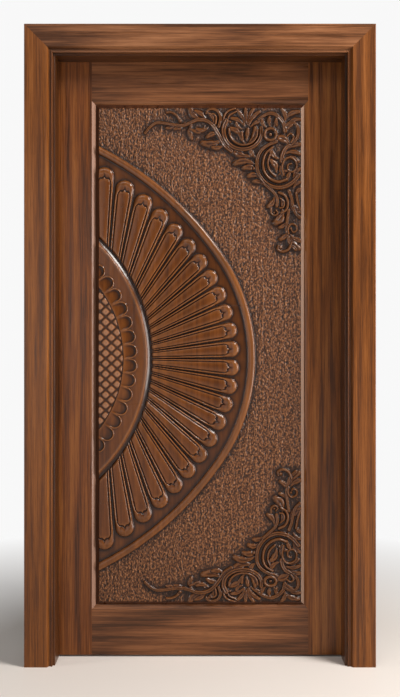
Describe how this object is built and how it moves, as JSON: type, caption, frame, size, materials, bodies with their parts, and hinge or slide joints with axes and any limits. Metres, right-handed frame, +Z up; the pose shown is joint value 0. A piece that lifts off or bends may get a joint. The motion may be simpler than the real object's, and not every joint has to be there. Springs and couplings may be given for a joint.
{
  "type": "carved panelled door with frame",
  "caption": "Timber door leaf in a cased frame: a long panel carved in relief with a half sunburst and corner scrollwork, swinging on butt hinges.",
  "frame": {"origin": "on the floor, in the middle of the frame's width and depth", "axes": "+Z up, +X to the right of someone who faces the carved side, +Y away from them"},
  "size_m": [1.208, 0.168, 2.209],
  "materials": {
    "frame_wood": "satin varnish on stained hardwood",
    "casing_wood": "satin varnish on stained hardwood",
    "leaf_wood": "satin varnish on stained hardwood",
    "carved_wood": "carved and antiqued, with a satin varnish",
    "hinge_metal": "aged satin brass",
    "pin_metal": "plain steel pin"
  },
  "bodies": {
    "frame": {"jamb_left": "frame_wood", "jamb_right": "frame_wood", "head_jamb": "frame_wood", "front_casing_left": "casing_wood", "front_casing_right": "casing_wood", "front_casing_head": "casing_wood", "rear_casing_left": "casing_wood", "rear_casing_right": "casing_wood", "rear_casing_head": "casing_wood", "frame_flap_top": "hinge_metal", "frame_flap_middle": "hinge_metal", "frame_flap_bottom": "hinge_metal", "hinge_pin_top": "pin_metal", "hinge_pin_middle": "pin_metal", "hinge_pin_bottom": "pin_metal"},
    "leaf": {"stile_left": "leaf_wood", "stile_right": "leaf_wood", "top_rail": "leaf_wood", "bottom_rail": "leaf_wood", "carved_panel": "carved_wood", "leaf_flap_top": "hinge_metal", "leaf_flap_middle": "hinge_metal", "leaf_flap_bottom": "hinge_metal"}
  },
  "joints": [
    {"name": "leaf_swing", "type": "hinge", "parent": "frame", "child": "leaf", "pos_m": [-0.5105, 0.073, 1.0955], "axis": [0, 0, 1], "range_deg": [0, 150]}
  ]
}
